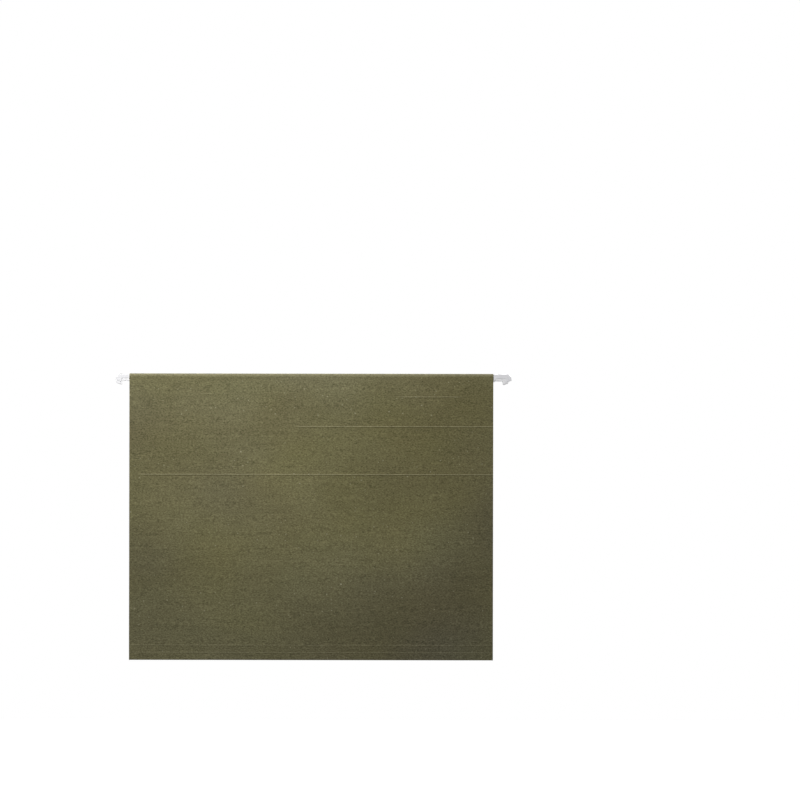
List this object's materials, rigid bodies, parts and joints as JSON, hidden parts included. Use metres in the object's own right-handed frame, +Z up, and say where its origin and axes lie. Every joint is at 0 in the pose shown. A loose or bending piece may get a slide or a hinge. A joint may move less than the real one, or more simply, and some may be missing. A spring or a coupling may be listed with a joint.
{
  "type": "hanging file folder",
  "caption": "Card hanging file folder with a scored base and a hemmed sleeve along each top edge, hung from two flat steel rails with coated hook ends.",
  "frame": {"origin": "on the hanging line, midway between the four hook seats at the height of the seats", "axes": "+X along the rails to the reader's right, +Y from the front panel to the back panel, +Z up"},
  "size_m": [0.3267, 0.0334, 0.2345],
  "materials": {
    "card": "uncoated olive folder stock, faint horizontal grain",
    "hem_glue": "dried adhesive film",
    "rail_steel": "rolled strip",
    "hook_coating": "glossy white dipped coating"
  },
  "bodies": {
    "back_panel": {"back_panel": "card", "back_hem_glue": "hem_glue", "bottom_fold": "card"},
    "back_rail": {"back_rail": "rail_steel", "back_left_hook_coat": "hook_coating", "back_right_hook_coat": "hook_coating"},
    "front_panel": {"front_panel": "card", "front_hem_glue": "hem_glue"},
    "front_rail": {"front_rail": "rail_steel", "front_left_hook_coat": "hook_coating", "front_right_hook_coat": "hook_coating"}
  },
  "joints": [
    {"name": "back_rail_slide", "type": "slide", "parent": "back_panel", "child": "back_rail", "axis": [1, 0, 0], "range_m": [-0.002, 0.002]},
    {"name": "bottom_fold_opening", "type": "hinge", "parent": "back_panel", "child": "front_panel", "pos_m": [0, 0, -0.23025], "axis": [1, 0, 0], "range_deg": [-6.8, 172], "deforming": ["bottom_fold"]},
    {"name": "front_rail_slide", "type": "slide", "parent": "front_panel", "child": "front_rail", "axis": [1, 0, 0], "range_m": [-0.0039, 0.0001]}
  ]
}
